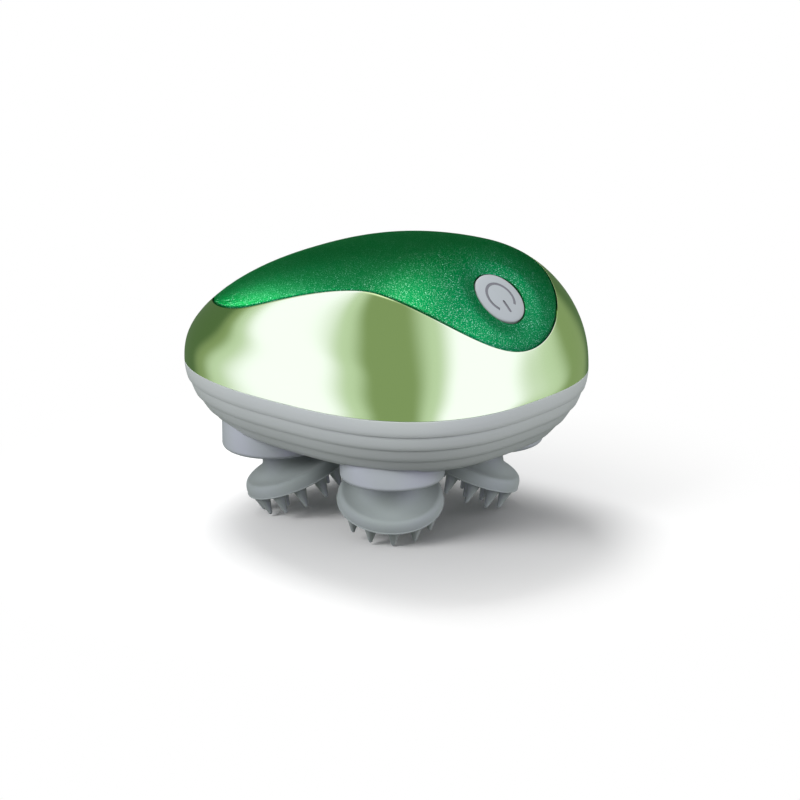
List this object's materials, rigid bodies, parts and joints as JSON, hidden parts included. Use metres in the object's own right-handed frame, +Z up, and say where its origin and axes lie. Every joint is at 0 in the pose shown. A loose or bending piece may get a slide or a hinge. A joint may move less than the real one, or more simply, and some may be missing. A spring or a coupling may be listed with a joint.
{
  "type": "electric scalp massager",
  "caption": "Egg-shaped hand-held kneading massager with a plated shell, a grained grip cover, a round power button and leaning silicone finger heads under a stepped base.",
  "frame": {"origin": "centre of the bounding box at the height of the lowest fingertips, midway between the heads", "axes": "+X along the length, towards the nose with the power button; +Y to the left; +Z up, out of the grip cover"},
  "size_m": [0.105, 0.09, 0.075],
  "materials": {
    "coated_shell": "electroplated, mirror-bright light green with a metallic flip",
    "grip_skin": "satin dark green with a fine sand grain",
    "grey_plastic": "satin light grey, fine moulded texture",
    "lilac_plastic": "satin pale lilac grey",
    "silicone": "soft grey silicone, slightly dusty sheen",
    "dark_rubber": "matt black",
    "white_plastic": "natural white acetal",
    "steel": "bright drawn steel",
    "brass": "turned brass",
    "circuit_board": "green solder mask",
    "black_plastic": "moulded black plastic",
    "cell_wrap": "blue shrink sleeve"
  },
  "bodies": {
    "housing": {"upper_shell": "coated_shell", "grip_cover": "grip_skin", "lower_shell": "grey_plastic", "nose_case_screw": "steel", "tail_case_screw": "steel", "left_case_screw": "steel", "right_case_screw": "steel", "switch_board": "circuit_board", "tact_switch": "black_plastic", "gear_deck": "white_plastic", "motor_plate": "white_plastic", "motor": "steel", "battery_cell": "cell_wrap", "battery_cradle": "black_plastic", "charging_socket": "steel", "charging_board": "circuit_board", "idler_pin": "steel"},
    "button": {"power_button": "lilac_plastic"},
    "plug": {"port_plug": "dark_rubber"},
    "sun": {"sun_gear": "white_plastic", "bull_gear": "white_plastic"},
    "idler": {"idler_gear": "white_plastic"},
    "rotor": {"motor_pinion": "brass"},
    "front_left_turret": {"front_left_drum": "lilac_plastic", "front_left_planet_gear": "white_plastic", "front_left_head_pin": "steel"},
    "front_left_head": {"front_left_massage_head": "silicone", "front_left_head_hub": "white_plastic"},
    "rear_left_turret": {"rear_left_drum": "lilac_plastic", "rear_left_planet_gear": "white_plastic", "rear_left_head_pin": "steel"},
    "rear_left_head": {"rear_left_massage_head": "silicone", "rear_left_head_hub": "white_plastic"},
    "rear_right_turret": {"rear_right_drum": "lilac_plastic", "rear_right_planet_gear": "white_plastic", "rear_right_head_pin": "steel"},
    "rear_right_head": {"rear_right_massage_head": "silicone", "rear_right_head_hub": "white_plastic"},
    "front_right_turret": {"front_right_drum": "lilac_plastic", "front_right_planet_gear": "white_plastic", "front_right_head_pin": "steel"},
    "front_right_head": {"front_right_massage_head": "silicone", "front_right_head_hub": "white_plastic"}
  },
  "joints": [
    {"name": "button_press", "type": "slide", "parent": "housing", "child": "button", "axis": [-0.6871, 0, -0.7266], "range_m": [0, 0.0006], "stiffness_N_per_m": 1200, "springref_m": -0.0006},
    {"name": "plug_pull", "type": "slide", "parent": "housing", "child": "plug", "axis": [-1, 0, 0], "range_m": [0, 0.006]},
    {"name": "sun_spin", "type": "hinge", "parent": "housing", "child": "sun", "pos_m": [0, 0, 0.04029], "axis": [0, 0, 1], "continuous": true},
    {"name": "idler_spin", "type": "hinge", "parent": "housing", "child": "idler", "pos_m": [-0.01812, 0, 0.04029], "axis": [0, 0, 1], "continuous": true},
    {"name": "motor_spin", "type": "hinge", "parent": "housing", "child": "rotor", "pos_m": [-0.00063, 0, 0.04029], "axis": [0, 0, 1], "continuous": true},
    {"name": "front_left_drum_turn", "type": "hinge", "parent": "housing", "child": "front_left_turret", "pos_m": [0.02068, 0.02068, 0.02299], "axis": [0, 0, 1], "continuous": true},
    {"name": "front_left_head_turn", "type": "hinge", "parent": "front_left_turret", "child": "front_left_head", "pos_m": [0.02068, 0.02068, 0.02524], "axis": [0.2592, 0.2592, 0.9304], "continuous": true},
    {"name": "rear_left_drum_turn", "type": "hinge", "parent": "housing", "child": "rear_left_turret", "pos_m": [-0.02068, 0.02068, 0.02299], "axis": [0, 0, 1], "continuous": true},
    {"name": "rear_left_head_turn", "type": "hinge", "parent": "rear_left_turret", "child": "rear_left_head", "pos_m": [-0.02068, 0.02068, 0.02524], "axis": [-0.2592, 0.2592, 0.9304], "continuous": true},
    {"name": "rear_right_drum_turn", "type": "hinge", "parent": "housing", "child": "rear_right_turret", "pos_m": [-0.02068, -0.02068, 0.02299], "axis": [0, 0, 1], "continuous": true},
    {"name": "rear_right_head_turn", "type": "hinge", "parent": "rear_right_turret", "child": "rear_right_head", "pos_m": [-0.02068, -0.02068, 0.02524], "axis": [-0.2592, -0.2592, 0.9304], "continuous": true},
    {"name": "front_right_drum_turn", "type": "hinge", "parent": "housing", "child": "front_right_turret", "pos_m": [0.02068, -0.02068, 0.02299], "axis": [0, 0, 1], "continuous": true},
    {"name": "front_right_head_turn", "type": "hinge", "parent": "front_right_turret", "child": "front_right_head", "pos_m": [0.02068, -0.02068, 0.02524], "axis": [0.2592, -0.2592, 0.9304], "continuous": true}
  ],
  "couplings": [
    {"joint": "idler_spin", "follows": "sun_spin", "ratio": -3.1429},
    {"joint": "motor_spin", "follows": "sun_spin", "ratio": 9.4286},
    {"joint": "front_left_drum_turn", "follows": "sun_spin", "ratio": -1.6},
    {"joint": "front_left_head_turn", "follows": "sun_spin", "ratio": 1.6},
    {"joint": "rear_left_drum_turn", "follows": "sun_spin", "ratio": -1.6},
    {"joint": "rear_left_head_turn", "follows": "sun_spin", "ratio": 1.6},
    {"joint": "rear_right_drum_turn", "follows": "sun_spin", "ratio": -1.6},
    {"joint": "rear_right_head_turn", "follows": "sun_spin", "ratio": 1.6},
    {"joint": "front_right_drum_turn", "follows": "sun_spin", "ratio": -1.6},
    {"joint": "front_right_head_turn", "follows": "sun_spin", "ratio": 1.6}
  ]
}
